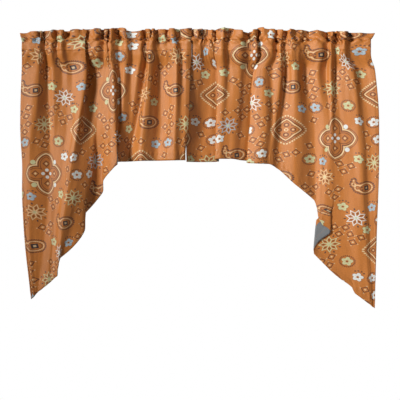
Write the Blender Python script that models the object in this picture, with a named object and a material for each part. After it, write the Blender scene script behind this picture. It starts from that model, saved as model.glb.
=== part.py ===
"""Window swag: two gathered cloth panels that hang side by side from one rod.

Metres, +Z up, the front of the cloth towards -Y. The origin is on the rod's axis, at mid width.
Each panel is one cut of cloth: a ruffled heading with an empty rod pocket, and a swag below it
whose hem is level at mid window and runs down to a long tail at the outer side.
"""

from collections import namedtuple

import bmesh
import bpy
from mathutils import Vector

MM = 0.001

# Cloth and seams
CLOTH = 1.6 * MM
SEAM_GAP = 0.3 * MM
LAYER_OFFSET = CLOTH / 2 + 0.2 * MM

# Rod pocket, measured from the rod's axis
POCKET_HALF_HEIGHT = 17 * MM
STITCH_BAND = 2 * MM
WALL_HALF_HEIGHT = 9.5 * MM
WALL_DEPTH = 11 * MM
PLEAT_DEPTH = 9 * MM
FRONT_SWELL = 0.3
BACK_SWELL = 0.15
CROWN_FLARE = 1.2

# Heights at which the fold lines are given: below the pocket, in the gathers, half way down the
# valance, at its hem, half way down the tail and at the tail's tip
LEVELS = (-21, -88, -251, -384, -583, -860)

COLUMNS_PER_FOLD = 2
SWAG_ROWS = 16
STRAIGHT_TOP = 4 * MM
ROW_CROWDING = 1.15
TANGENT_SHARE = 0.9

# One row for each fold line, from the outer side hem to the inner one, in millimetres: its place
# across the window and how far it stands proud at each level, the height of its hem, and the
# height of the heading's crown above it. A line whose hem is level ends at the fourth level.
Fold = namedtuple("Fold", "line across proud hem crown")

LEFT_FOLDS = (
    Fold("outer hem", (-587, -590, -595, -589, -579, -553), (2, 0, -8, -10, -5, -2), -844, 38),
    Fold("outer ridge", (-529, -532, -559, -572, -562, -536), (9, 14, 12, 5, 3, 1), -824, 45),
    Fold("tail valley", (-509, -512, -519, -515, -512, -522), (-9, -12, -17, -17, -14, -4), -806, 45),
    Fold("tail rib", (-489, -489, -495, -495, -495, -511), (7, 8, 0, -9, -9, 0), -795, 50),
    Fold("tail groove", (-472, -462, -465, -475, -482, -498), (-8, -11, -8, -2, -3, -3), -786, 51),
    Fold("tail swell", (-456, -439, -442, -452, -469, -492), (7, 7, 7, 7, 6, 3), -778, 48),
    Fold("long fold foot", (-439, -424, -422, -436, -462, -487), (-8, -2, 10, 14, 12, 4), -772, 48),
    Fold("long fold", (-392, -381, -388, -411, -449, -480), (9, 24, 30, 30, 22, 8), -764, 51),
    Fold("long fold back", (-372, -369, -376, -396, -436, -503), (-8, -9, -2, 2, 0, -12), -720, 51),
    Fold("first cascade", (-339, -336, -349, -362, -379, -383), (8, 2, -20, -18, -10, -10), -617, 54),
    Fold("first turn", (-316, -319, -336, -349, -384, -390), (-7, -9, -24, -34, -32, -32), -560, 51),
    Fold("second cascade", (-306, -306, -319, -322, -319, -319), (4, 2, -14, -32, -36, -36), -484, 54),
    Fold("second turn", (-299, -299, -310, -318, -325, -325), (0, 0, -8, -16, -16, -16), -445, 52),
    Fold("front fold", (-291, -288, -284, -270, -268, -268), (9, 15, 22, 26, 24, 24), -394, 52),
    Fold("front fold back", (-266, -266, -268, -289), (-9, -6, -2, -2), -390, 60),
    Fold("inner rib", (-239, -246, -254, -273), (8, 5, -6, -12), -387, 51),
    Fold("inner groove", (-223, -226, -236, -258), (-8, -7, -13, -18), -386, 38),
    Fold("shadow rib", (-193, -203, -223, -246), (8, 5, -16, -22), -386, 51),
    Fold("shadow valley", (-180, -181, -206, -231), (-8, -11, -20, -24), -385, 51),
    Fold("third ridge", (-160, -166, -180, -190), (9, 12, 12, 11), -384, 51),
    Fold("third valley", (-133, -130, -126, -140), (-9, -18, -16, -12), -383, 52),
    Fold("inner ridge", (-76, -76, -80, -83), (9, 17, 20, 20), -383, 54),
    Fold("inner dip", (-60, -60, -60, -63), (-6, 3, 10, 10), -382, 51),
    Fold("inner roll", (-40, -42, -43, -50), (7, 7, 6, 5), -382, 54),
    Fold("inner hem", (-24, -28, -34, -46), (2, 2, 2, 2), -382, 54),
)

RIGHT_FOLDS = (
    Fold("outer hem", (569, 585, 597, 597, 591, 584), (3, 8, 12, 12, 8, 2), -873, 38),
    Fold("outer valley", (495, 522, 519, 512, 522, 568), (-9, -10, -14, -14, -12, -6), -862, 42),
    Fold("tail fold", (479, 507, 523, 532, 553, 573), (9, 14, 18, 18, 13, 6), -848, 45),
    Fold("tail back", (456, 454, 462, 472, 479, 516), (-8, -8, -4, -4, -5, -6), -806, 45),
    Fold("under turn", (446, 446, 455, 439, 392, 376), (2, 0, -4, -6, -12, -12), -687, 43),
    Fold("cascade fold", (439, 439, 449, 446, 441, 438), (9, 10, 18, 16, 12, 10), -617, 42),
    Fold("cascade groove", (426, 422, 432, 426, 416, 409), (-8, -6, 8, 8, 5, 5), -597, 45),
    Fold("cascade rib", (402, 392, 409, 406, 402, 399), (9, 10, 2, 0, -1, -1), -582, 45),
    Fold("fourth valley", (359, 352, 372, 379, 382, 382), (-9, -16, -14, -12, -10, -10), -535, 48),
    Fold("fourth ridge", (309, 321, 323, 319, 326, 326), (9, 14, 15, 12, 8, 8), -464, 51),
    Fold("step valley", (283, 284, 273, 266, 273, 273), (-9, -10, -9, -7, -6, -6), -412, 48),
    Fold("step rib", (269, 271, 256, 243), (8, 12, 4, 4), -397, 51),
    Fold("broad fold foot", (256, 236, 236, 223), (-8, 2, 8, 10), -394, 51),
    Fold("broad fold", (239, 209, 213, 200), (9, 12, 13, 13), -394, 52),
    Fold("broad fold edge", (203, 190, 175, 166), (-9, -3, 4, 3), -391, 58),
    Fold("second rib", (186, 175, 160, 150), (8, -6, -10, -10), -384, 51),
    Fold("second groove", (166, 160, 146, 136), (-9, -4, -6, -6), -381, 40),
    Fold("plateau ridge", (136, 136, 126, 116), (9, 13, 9, 7), -377, 48),
    Fold("plateau dip", (96, 98, 93, 86), (-9, -7, 1, 0), -377, 58),
    Fold("plateau rise", (76, 80, 70, 63), (9, 10, 7, 6), -377, 55),
    Fold("plateau groove", (53, 57, 57, 50), (-4, -4, -2, -3), -379, 51),
    Fold("first ridge", (37, 43, 40, 33), (2, -4, 3, 4), -386, 48),
    Fold("first valley", (17, 30, 13, 2), (-9, -12, -13, -12), -387, 54),
    Fold("inner roll", (0, -7, -20, -27), (8, 2, -6, -8), -387, 51),
    Fold("inner hem", (-23, -32, -43, -43), (-2, -8, -11, -12), -387, 52),
)


def eased(values, height):
    """A value given at the levels, read at a height in millimetres on a curve that never overshoots."""
    levels = LEVELS[: len(values)]
    if height >= levels[0]:
        return values[0]
    if height <= levels[-1]:
        return values[-1]
    steps = [levels[i] - levels[i + 1] for i in range(len(levels) - 1)]
    slopes = [(values[i + 1] - values[i]) / steps[i] for i in range(len(steps))]
    turns = [slopes[0]]
    for before, after in zip(slopes, slopes[1:]):
        turns.append(2 * before * after / (before + after) if before * after > 0 else 0)
    turns.append(slopes[-1])
    span = next(i for i in range(len(steps)) if height >= levels[i + 1])
    t = (levels[span] - height) / steps[span]
    start = (1 + 2 * t) * (1 - t) ** 2 * values[span] + t * (1 - t) ** 2 * steps[span] * turns[span]
    end = t * t * (3 - 2 * t) * values[span + 1] - t * t * (1 - t) * steps[span] * turns[span + 1]
    return start + end


def fold_spot(folds, index, height):
    """Where one fold line is at a height, as a plan point (x, y) in metres."""
    fold = folds[min(max(index, 0), len(folds) - 1)]
    return Vector((eased(fold.across, height / MM), -eased(fold.proud, height / MM))) * MM


def fold_direction(folds, index, height):
    """The cloth's direction in plan where it passes a fold line."""
    return (fold_spot(folds, index + 1, height) - fold_spot(folds, index - 1, height)).normalized()


def plan_point(folds, place, height):
    """A point of the cloth in plan. place runs along the cloth and is a whole number at each fold line."""
    index = min(int(place), len(folds) - 2)
    t = place - index
    start = fold_spot(folds, index, height)
    end = fold_spot(folds, index + 1, height)
    reach = (end - start).length * TANGENT_SHARE
    leave = fold_direction(folds, index, height) * reach
    arrive = fold_direction(folds, index + 1, height) * reach
    point = (1 + 2 * t) * (1 - t) ** 2 * start + t * (1 - t) ** 2 * leave
    return point + t * t * (3 - 2 * t) * end - t * t * (1 - t) * arrive


def between_folds(folds, place, column):
    """A fold's own size, such as its hem's height, shared out evenly between neighbouring lines."""
    index = min(int(place), len(folds) - 2)
    start = getattr(folds[index], column)
    end = getattr(folds[index + 1], column)
    return (start + (end - start) * (place - index)) * MM


def front_normal(folds, place, height):
    """The plan direction square to the cloth, towards the front."""
    near = 0.02
    last = len(folds) - 1
    before = plan_point(folds, max(place - near, 0), height)
    after = plan_point(folds, min(place + near, last), height)
    along = (after - before).normalized()
    normal = Vector((along.y, -along.x))
    return normal if along.x > 0 else -normal


def sheet_object(name, folds, rows, surface, material):
    """A sheet of cloth: a grid laid on surface(place, row share) and thickened about it."""
    last = len(folds) - 1
    shape = bmesh.new()
    bmesh.ops.create_grid(shape, x_segments=last * COLUMNS_PER_FOLD, y_segments=rows, size=0.5)
    for vert in shape.verts:
        place = round((vert.co.x + 0.5) * last * COLUMNS_PER_FOLD) / COLUMNS_PER_FOLD
        vert.co = surface(folds, place, round((0.5 - vert.co.y) * rows) / rows)
    mesh = bpy.data.meshes.new(name)
    shape.to_mesh(mesh)
    shape.free()
    mesh.shade_smooth()
    mesh.materials.append(material)
    sheet = bpy.data.objects.new(name, mesh)
    bpy.context.collection.objects.link(sheet)
    wall = sheet.modifiers.new("Cloth thickness", "SOLIDIFY")
    wall.thickness = CLOTH
    wall.offset = 0
    return sheet


def swag_surface(folds, place, share):
    """The draped cloth below the pocket. Its top edge is straight, so that it meets the heading evenly."""
    top = -POCKET_HALF_HEIGHT - SEAM_GAP
    first = 1 / SWAG_ROWS
    if share < first:
        height = top
    else:
        below = ((share - first) / (1 - first)) ** ROW_CROWDING
        height = top - STRAIGHT_TOP + (between_folds(folds, place, "hem") - top + STRAIGHT_TOP) * below
    plan = plan_point(folds, place, height)
    return Vector((plan.x, plan.y, height))


# The heading's cloth goes up the front, over the crown and down the back. Grip is 1 where its two
# layers are stitched or pressed together and 0 where they pass round the rod.
Turn = namedtuple("Turn", "height grip crown_share")

HEADING_TURNS = (
    Turn(-POCKET_HALF_HEIGHT, 1, 0),
    Turn(-POCKET_HALF_HEIGHT + STITCH_BAND, 1, 0),
    Turn(-WALL_HALF_HEIGHT, 0, 0),
    Turn(0, 0, 0),
    Turn(WALL_HALF_HEIGHT, 0, 0),
    Turn(POCKET_HALF_HEIGHT, 1, 0),
    Turn(POCKET_HALF_HEIGHT, 1, 0.5),
    Turn(POCKET_HALF_HEIGHT, 1, 1),
)
HEADING_ROWS = 2 * len(HEADING_TURNS)


def heading_surface(folds, place, share):
    """The rod pocket and the ruffle above it, as one folded layer of cloth."""
    row = round(share * HEADING_ROWS)
    turn = HEADING_TURNS[min(row, HEADING_ROWS - row, len(HEADING_TURNS) - 1)]
    side = (row < HEADING_ROWS / 2) - (row > HEADING_ROWS / 2)
    level = LEVELS[0] * MM
    plan = plan_point(folds, place, level)
    crown = between_folds(folds, place, "crown")
    flare = 1 + (CROWN_FLARE - 1) * turn.crown_share
    pressed = Vector((plan.x, plan.y * flare)) + front_normal(folds, place, level) * LAYER_OFFSET * side
    swell = (PLEAT_DEPTH - plan.y) * FRONT_SWELL if side > 0 else (PLEAT_DEPTH + plan.y) * BACK_SWELL
    round_rod = Vector((plan.x, -side * (WALL_DEPTH + swell)))
    spot = round_rod.lerp(pressed, turn.grip)
    height = turn.height + (crown - turn.height) * turn.crown_share
    if side == 0:
        height = crown + LAYER_OFFSET
    return Vector((spot.x, spot.y, height))


def cloth_material(name, colour, roughness):
    """A plain cloth finish."""
    material = bpy.data.materials.new(name)
    material.use_nodes = True
    shader = material.node_tree.nodes["Principled BSDF"]
    shader.inputs["Base Color"].default_value = (*colour, 1)
    shader.inputs["Roughness"].default_value = roughness
    shader.inputs["Metallic"].default_value = 0
    return material


def build():
    for old in list(bpy.data.objects):
        bpy.data.objects.remove(old, do_unlink=True)
    swag_cloth = cloth_material("printed cloth", (0.52, 0.24, 0.10), 0.85)
    heading_cloth = cloth_material("gathered cloth", (0.45, 0.20, 0.08), 0.85)
    for side, folds in (("left", LEFT_FOLDS), ("right", RIGHT_FOLDS)):
        sheet_object(side + "_heading", folds, HEADING_ROWS, heading_surface, heading_cloth)
        sheet_object(side + "_swag", folds, SWAG_ROWS, swag_surface, swag_cloth)


build()
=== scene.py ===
"""The looks of a pair of printed window swags, laid out as a Blender add-on and run as a script.

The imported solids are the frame. Each panel is made again as one fine sheet of cloth on fold lines of
the same names, many of them moved to the photograph's light and dark, with its hems, gathers and
creases, its printed face, its plain reverse and its stitching.
"""

import math
import random
from collections import namedtuple

import bmesh
import bpy
import numpy as np
from mathutils import Matrix, Vector, noise


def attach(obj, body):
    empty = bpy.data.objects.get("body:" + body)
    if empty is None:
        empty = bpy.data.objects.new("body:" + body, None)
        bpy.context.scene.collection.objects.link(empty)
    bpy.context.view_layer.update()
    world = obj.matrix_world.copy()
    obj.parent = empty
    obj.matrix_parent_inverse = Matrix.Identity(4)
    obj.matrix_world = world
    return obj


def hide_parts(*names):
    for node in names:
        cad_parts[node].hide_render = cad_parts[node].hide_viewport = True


bl_info = {
    "name": "Window swag",
    "version": (1, 0, 0),
    "blender": (4, 5, 0),
    "location": "View3D > Sidebar > Window swag",
    "description": "Hangs, prints and stitches a pair of rod-pocket window swags",
    "category": "Object",
}

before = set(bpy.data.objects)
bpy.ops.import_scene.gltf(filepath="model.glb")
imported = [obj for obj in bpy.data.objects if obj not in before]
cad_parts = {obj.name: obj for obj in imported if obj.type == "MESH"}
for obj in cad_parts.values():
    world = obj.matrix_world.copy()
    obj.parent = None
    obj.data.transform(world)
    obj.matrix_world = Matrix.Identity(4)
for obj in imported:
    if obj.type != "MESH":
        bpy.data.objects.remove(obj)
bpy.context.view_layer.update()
BODY = "root"
MM = 0.001

# Rod pocket and header, measured from the rod's axis
POCKET_HALF_HEIGHT = 17 * MM
ROD_CLEARANCE = 10.5 * MM
POCKET_PLEAT_DEPTH = 14 * MM
PLEAT_RANGE = 18 * MM
LAYER_OFFSET = 1 * MM
SEAM_SET_BACK = 0.6 * MM
NECK_SET_BACK = 4 * MM
NECK_PLEAT = 6 * MM

# Heights in millimetres at which the fold lines are given: below the pocket, in the gathers, half
# way down the valance, at its hem, half way down the tail and at the tail's tip. The right panel
# has one more, above its under turn.
LEFT_LEVELS = (-21, -88, -251, -384, -583, -860)
RIGHT_LEVELS = (-21, -88, -251, -384, -535, -583, -860)
TANGENT_SHARE = 0.9

# One row for each fold line, from the outer side hem to the inner one, in millimetres: its place
# across the window and how far it stands proud at each level, the height of its hem, and the
# height of the heading's crown above it
Fold = namedtuple("Fold", "line across proud hem crown")

LEFT_FOLDS = (
    Fold("outer hem", (-587, -590, -595, -591, -585, -557), (2, 0, -8, -10, -5, -2), -844, 38),
    Fold("outer ridge", (-529, -532, -548, -562, -564, -549), (9, 13, 8, 2, 0, -2), -838, 45),
    Fold("tail valley", (-509, -508, -502, -500, -514, -538), (-9, -12, -15, -15, -12, -5), -819, 45),
    Fold("tail rib", (-489, -485, -482, -483, -492, -511), (7, 3, -5, -9, -9, -2), -797, 50),
    Fold("tail groove", (-472, -458, -459, -468, -480, -498), (-8, -9, -7, -5, -5, -3), -786, 51),
    Fold("tail swell", (-456, -439, -440, -452, -469, -492), (7, -2, -6, -2, 0, 1), -778, 48),
    Fold("long fold foot", (-439, -424, -422, -438, -464, -487), (-8, -2, 1, 6, 6, 2), -772, 48),
    Fold("long fold", (-377, -374, -397, -419, -449, -480), (9, 15, 16, 18, 14, 6), -764, 51),
    Fold("long fold back", (-383, -384, -385, -388, -423, -520), (-8, -18, -13, 1, 5, -10), -708, 51),
    Fold("first cascade", (-339, -340, -352, -358, -379, -383), (8, -12, -20, -15, -14, -14), -617, 54),
    Fold("first turn", (-316, -324, -338, -349, -384, -390), (-7, -8, -18, -29, -31, -31), -560, 51),
    Fold("second cascade", (-306, -310, -322, -325, -319, -319), (4, -2, -8, -26, -36, -36), -484, 54),
    Fold("second turn", (-299, -300, -308, -316, -325, -325), (0, 3, 0, -8, -16, -16), -445, 52),
    Fold("front fold", (-291, -284, -278, -270, -268, -268), (9, 11, 16, 22, 22, 22), -394, 52),
    Fold("front fold back", (-266, -266, -270, -292), (-9, -8, -8, -10), -390, 60),
    Fold("inner rib", (-239, -246, -254, -273), (8, 5, -6, -12), -387, 51),
    Fold("inner groove", (-223, -226, -236, -258), (-8, -7, -13, -18), -386, 38),
    Fold("shadow rib", (-193, -203, -223, -246), (8, 5, -16, -22), -386, 51),
    Fold("shadow valley", (-180, -181, -206, -231), (-8, -11, -20, -24), -385, 51),
    Fold("third ridge", (-160, -166, -180, -190), (9, 12, 12, 11), -384, 51),
    Fold("third valley", (-133, -130, -126, -140), (-9, -18, -16, -12), -383, 52),
    Fold("inner ridge", (-76, -76, -80, -83), (9, 17, 20, 20), -383, 54),
    Fold("inner dip", (-60, -60, -60, -63), (-6, 3, 10, 10), -382, 51),
    Fold("inner roll", (-40, -42, -43, -50), (7, 8, 8, 8), -382, 54),
    Fold("inner hem", (-24, -28, -34, -46), (2, 4, 5, 5), -382, 54),
)

RIGHT_FOLDS = (
    Fold("outer hem", (569, 585, 597, 597, 593, 591, 584), (3, 8, 13, 14, 12, 11, 4), -873, 38),
    Fold("outer valley", (500, 534, 549, 558, 564, 566, 575), (-9, -3, 6, 9, 8, 8, 3), -868, 42),
    Fold("tail fold", (479, 507, 525, 536, 545, 548, 566), (9, 16, 17, 17, 16, 15, 6), -860, 45),
    Fold("tail back", (457, 461, 469, 476, 478, 479, 516), (-6, -5, 0, 0, 1, 1, -3), -818, 45),
    Fold("under turn", (448, 449, 454, 454, 449, 392, 376), (-8, -7, 2, 2, 0, -4, -6), -684, 43),
    Fold("cascade fold", (436, 436, 441, 442, 440, 437, 434), (9, 11, 9, 5, 3, 2, 2), -617, 42),
    Fold("cascade groove", (426, 422, 432, 427, 418, 411, 406), (-8, -6, 6, 4, 3, 3, 3), -597, 45),
    Fold("cascade rib", (402, 392, 416, 410, 402, 396, 392), (9, 9, 1, 0, -1, -1, -1), -573, 45),
    Fold("fourth valley", (359, 352, 380, 384, 384, 384, 384), (-9, -16, -14, -12, -10, -10, -10), -513, 48),
    Fold("fourth ridge", (309, 321, 323, 319, 324, 326, 326), (9, 10, 9, 8, 7, 6, 6), -464, 51),
    Fold("step valley", (283, 284, 273, 266, 272, 273, 273), (-9, -10, -9, -7, -6, -6, -6), -412, 48),
    Fold("step rib", (269, 271, 256, 243), (8, 12, 4, 4), -397, 51),
    Fold("broad fold foot", (256, 240, 243, 232), (-8, 0, 4, 6), -394, 51),
    Fold("broad fold", (239, 215, 220, 210), (9, 13, 16, 15), -394, 52),
    Fold("broad fold edge", (196, 180, 167, 160), (-9, -5, -3, -3), -391, 58),
    Fold("second rib", (192, 186, 180, 172), (8, -10, -18, -18), -384, 51),
    Fold("second groove", (166, 160, 146, 136), (-9, -9, -13, -13), -381, 40),
    Fold("plateau ridge", (136, 136, 126, 116), (9, 3, -4, -4), -377, 48),
    Fold("plateau dip", (96, 98, 93, 86), (-9, -3, 0, 0), -377, 58),
    Fold("plateau rise", (76, 80, 74, 68), (9, 5, 3, 3), -377, 55),
    Fold("plateau groove", (53, 61, 57, 52), (-4, -3, -6, -6), -379, 51),
    Fold("first ridge", (42, 68, 68, 64), (0, -15, -26, -26), -386, 48),
    Fold("first valley", (17, 32, 22, 14), (-9, -19, -27, -27), -387, 54),
    Fold("inner roll", (0, -7, -20, -27), (2, -7, -13, -14), -387, 51),
    Fold("inner hem", (-23, -32, -43, -43), (-4, -4, -1, -1), -387, 52),
)


def finished_mesh(name, shape):
    """The bmesh as a smooth mesh, and the bmesh freed."""
    mesh = bpy.data.meshes.new(name)
    shape.to_mesh(mesh)
    shape.free()
    mesh.shade_smooth()
    return mesh


def level_table(folds, column, levels):
    """One row of values for each fold line, in metres, held level below the last one given."""
    rows = [list(getattr(fold, column)) for fold in folds]
    return np.array([row + row[-1:] * (len(levels) - len(row)) for row in rows]) * MM


def smooth_curve(t, start, end, leave, arrive):
    """A curve's value at a share t of its way, with the rates at which it leaves and arrives."""
    value = (1 + 2 * t) * (1 - t) ** 2 * start + t * (1 - t) ** 2 * leave
    return value + t * t * (3 - 2 * t) * end - t * t * (1 - t) * arrive


def eased(table, levels, index, height):
    """The indexed rows of a level table read at some heights, on curves that never overshoot."""
    depths = -np.array(levels) * MM
    steps = np.diff(depths)
    slopes = np.diff(table, axis=1) / steps
    before, after = slopes[:, :-1], slopes[:, 1:]
    same_way = before * after > 0
    mean = 2 * before * after / np.where(same_way, before + after, 1)
    turns = np.hstack([slopes[:, :1], np.where(same_way, mean, 0), slopes[:, -1:]])
    depth = np.clip(-height, depths[0], depths[-1])
    span = np.clip(np.searchsorted(depths, depth, side="right") - 1, 0, len(steps) - 1)
    step = steps[span]
    ends = (table[index, span + near] for near in (0, 1))
    rates = (step * turns[index, span + near] for near in (0, 1))
    return smooth_curve((depth - depths[span]) / step, *ends, *rates)


class Drape:
    """One panel's fold lines, read at any thread of the cloth and any height.

    A thread is a vertical yarn, named by its distance from the outer side hem in the flat cloth.
    """

    SAMPLES = 24
    # The levels whose girths share the threads out, and the one at which the tail starts
    GIRTH_LEVELS = (1, 2, 3)
    TAIL_LEVEL = 3
    BLUR_TAPS = 7

    def __init__(self, folds, levels, width):
        self.folds = folds
        self.levels = levels
        self.width = width
        self.across = level_table(folds, "across", levels)
        self.proud = level_table(folds, "proud", levels)
        self.places = np.linspace(0, len(folds) - 1, (len(folds) - 1) * self.SAMPLES + 1)
        arcs = sum(self.arc(levels[level]) for level in self.GIRTH_LEVELS)
        self.threads = arcs * width / arcs[-1]

    def arc(self, level):
        """How far each place lies from the outer side hem, measured round the folds at one level."""
        points = np.stack(self.plan(self.places, np.full(len(self.places), level * MM)), axis=-1)
        steps = np.linalg.norm(np.diff(points, axis=0), axis=-1)
        return np.concatenate([[0], np.cumsum(steps)])

    def place(self, thread):
        """The place along the fold lines, a whole number at each line."""
        return np.interp(thread, self.threads, self.places)

    def flat_across(self, place, height):
        """Where the print lies across the flat cloth: on its thread, and in a tail true to its width."""
        across = np.interp(place, self.places, self.threads) + np.zeros(np.shape(height))
        tail = self.levels[self.TAIL_LEVEL :]
        for upper, lower in zip(tail, tail[1:]):
            share = np.clip((upper * MM - height) / ((upper - lower) * MM), 0, 1)
            across += share * np.interp(place, self.places, self.arc(lower) - self.arc(upper))
        return across

    def spot(self, index, height):
        index = np.clip(index, 0, len(self.folds) - 1)
        across = eased(self.across, self.levels, index, height)
        return across, -eased(self.proud, self.levels, index, height)

    def plan(self, place, height):
        """The cloth's x and y at each place and height."""
        index = np.minimum(place.astype(int), len(self.folds) - 2)
        t = place - index
        spots = [self.spot(index + step, height) for step in (-1, 0, 1, 2)]
        (x0, y0), (x1, y1), (x2, y2), (x3, y3) = spots
        reach = np.hypot(x2 - x1, y2 - y1) * TANGENT_SHARE
        leave = reach / np.maximum(np.hypot(x2 - x0, y2 - y0), MM)
        arrive = reach / np.maximum(np.hypot(x3 - x1, y3 - y1), MM)
        return [
            smooth_curve(t, start, end, (end - before) * leave, (after - start) * arrive)
            for before, start, end, after in ((x0, x1, x2, x3), (y0, y1, y2, y3))
        ]

    def shared(self, thread, column, blur):
        """A fold's own size between the lines, its corners rounded over a length of cloth."""
        values = np.array([getattr(fold, column) for fold in self.folds]) * MM
        marks = self.threads[:: self.SAMPLES]
        taps = np.linspace(-blur, blur, self.BLUR_TAPS)
        return np.mean([np.interp(thread + tap, marks, values) for tap in taps], axis=0)


def smooth_step(low, high, value):
    t = np.clip((value - low) / (high - low), 0, 1)
    return t * t * (3 - 2 * t)


# Smooth unevenness from -1 to 1: its turns in a metre across and down the cloth, and its own seed
Rumple = namedtuple("Rumple", "across down seed")
GATHERS = Rumple(95, 9, 1)
CREASES = Rumple(26, 3.2, 2)
FINE_CREASES = Rumple(55, 6, 3)
SLACK = Rumple(11, 9, 4)
RUFFLE_LEAN = Rumple(19, 0, 5)
RUFFLE_TURNS = Rumple(15, 0, 6)
RUFFLE_FULLNESS = Rumple(17, 0, 7)
TUCKS = Rumple(48, 14, 8)
CROWN = Rumple(44, 0, 9)
RIDGES = (Rumple(36, 12, 10), Rumple(36, 12, 11))


class Cloth:
    """The fine grid of one panel. Its rows run from the hem up the front and down the back."""

    # Rows of the grid. The hem's are shares of its depth, and its seam lies on one of them.
    HEM_ROWS = (0, 0.24, 0.48, 0.72, 0.94, 1.06)
    HEM_SEAM_ROW = 4
    HEM_STEP = (0.96, 1.04)
    SIDE_HEM_STEP = (0.9, 1.1)
    SWAG_ROWS = 94
    POCKET_ROWS = 14
    HEADER_ROWS = 11
    ROW_CROWDING = 1.2

    # How far along the cloth the corners of the crown and of the hem are rounded
    CROWN_BLUR = 12 * MM
    HEM_BLUR = 9 * MM

    # How far below the pocket the seam still draws the cloth to itself, and holds it still
    SEAM_PULL = 62 * MM
    SEAM_GRIP = 16 * MM

    # Pocket: how square its walls are, and how far its back stands out behind a valley of the front
    WALL_SQUARENESS = 0.9
    BACK_FULLNESS = 0.7 * POCKET_PLEAT_DEPTH

    # Header: how far from its sides it is held and flares, its sway and lean sideways, how its turns
    # wander, its usual and added fullness, how it opens, and the share its crown is drawn in
    SIDE_HOLD = 24 * MM
    FLARE_REACH = 40 * MM
    SWAY = 0.48
    LEAN = 7 * MM
    WANDER = 0.5
    FULLNESS = (0.75, 0.7)
    OPENING = 0.8
    CROWN_DRAWN_IN = 0.2

    # How far down the gathers fade, and the depth over which the slack sets in
    GATHER_REACH = 55 * MM
    SLACK_REACH = 120 * MM

    # The fine creases' share of the soft ones, and the ripples along the hem's seam
    FINE_SHARE = 0.5
    PUCKER_PITCH = 17 * MM
    PUCKER_REACH = 7 * MM

    # Tucks at the pocket's seams: how far they reach, the share below which they are left out, how
    # far they stand out in all, and the shares of their swells and their leaning ridges
    TUCK_REACH = 15 * MM
    LEAST_NEAR = 0.02
    TUCK_RISE = 0.35
    TUCK_SHARE = 0.8
    RIDGE_SHARE = 1.2
    RIDGE_LEAN = 0.9

    def __init__(self, drapery, sizes):
        self.drape = Drape(drapery.folds, drapery.levels, sizes.panel_width)
        self.sizes = sizes
        self.flare = drapery.flare
        self.seed = drapery.seed
        columns = round(sizes.panel_width / sizes.thread_spacing)
        self.thread = np.linspace(0, sizes.panel_width, columns + 1)
        self.place = self.drape.place(self.thread)
        self.crown = self.drape.shared(self.thread, "crown", self.CROWN_BLUR)
        self.hem = self.drape.shared(self.thread, "hem", self.HEM_BLUR)
        self.gather_seam(drapery.levels[0])
        self.gather_header()
        rows = self.swag_rows() + self.heading_rows()
        self.points = np.array([row[0] for row in rows])
        self.rises = np.array([row[1] for row in rows])
        self.stitch_row = len(self.HEM_ROWS) + self.SWAG_ROWS - 1
        self.crease()

    def rumple(self, kind, thread, height=None):
        """One kind of unevenness at some threads and heights."""
        height = np.zeros(np.shape(thread)) if height is None else height
        spots = zip(np.ravel(thread) * kind.across, np.ravel(height) * kind.down)
        values = [noise.noise(Vector((across, down, self.seed + kind.seed))) for across, down in spots]
        return np.array(values).reshape(np.shape(thread))

    def gather_seam(self, level):
        """The line on which the pocket is stitched, with the pleats running through it."""
        x, y = self.drape.plan(self.place, np.full(len(self.thread), level * MM))
        self.seam_x = x
        self.pleat = np.clip(0.5 - y / PLEAT_RANGE, 0, 1)
        self.wall_y = -(ROD_CLEARANCE + POCKET_PLEAT_DEPTH * self.pleat)
        self.seam_y = self.wall_y + SEAM_SET_BACK
        self.neck_y = self.wall_y + NECK_SET_BACK + NECK_PLEAT * (1 - self.pleat)

    def gather_header(self):
        """How far the header's ruffle stands sideways and forward at its crown, in uneven folds."""
        wandering = self.WANDER * self.rumple(RUFFLE_TURNS, self.thread)
        phase = 2 * math.pi * (self.thread / self.sizes.ruffle_length + wandering)
        usual, added = self.FULLNESS
        depth = self.sizes.ruffle_depth * (usual + added * self.rumple(RUFFLE_FULLNESS, self.thread))
        free = smooth_step(0, self.SIDE_HOLD, np.minimum(self.thread, self.drape.width - self.thread))
        lean = self.LEAN * self.rumple(RUFFLE_LEAN, self.thread)
        outwards = np.sign(self.seam_x[0] - self.seam_x[-1])
        flare = outwards * self.flare * (1 - smooth_step(0, self.FLARE_REACH, self.thread))
        self.ruffle_x = (self.SWAY * depth * np.sin(2 * phase) + lean) * free + flare
        self.ruffle_y = depth * np.cos(phase) * free

    def swag_rows(self):
        """The draped cloth from its hem to the pocket's lower seam."""
        top = np.full(len(self.thread), -POCKET_HALF_HEIGHT)
        heights = [self.hem + part * self.sizes.hem_depth for part in self.HEM_ROWS]
        foot = heights[-1]
        for row in range(1, self.SWAG_ROWS + 1):
            share = (1 - row / self.SWAG_ROWS) ** self.ROW_CROWDING
            heights.append(top + (foot - top) * share)
        rows = []
        for height in heights:
            x, y = self.drape.plan(self.place, height)
            free = smooth_step(0, self.SEAM_PULL, -POCKET_HALF_HEIGHT - height)
            y = self.seam_y + (y - self.seam_y) * free
            x = self.seam_x + (x - self.seam_x) * free
            rows.append((np.stack([x, y, height], axis=-1), height))
        return rows

    def heading_rows(self):
        """The rod pocket's front, the header, its crown, and the same down the back."""
        rows = []
        rise = -POCKET_HALF_HEIGHT
        path = self.heading_path()
        before = self.heading_row(*path[0])
        for turn in path[1:]:
            row = self.heading_row(*turn)
            rise = rise + np.linalg.norm(row - before, axis=-1).mean()
            rows.append((row, np.full(len(self.thread), rise)))
            before = row
        return rows

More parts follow.
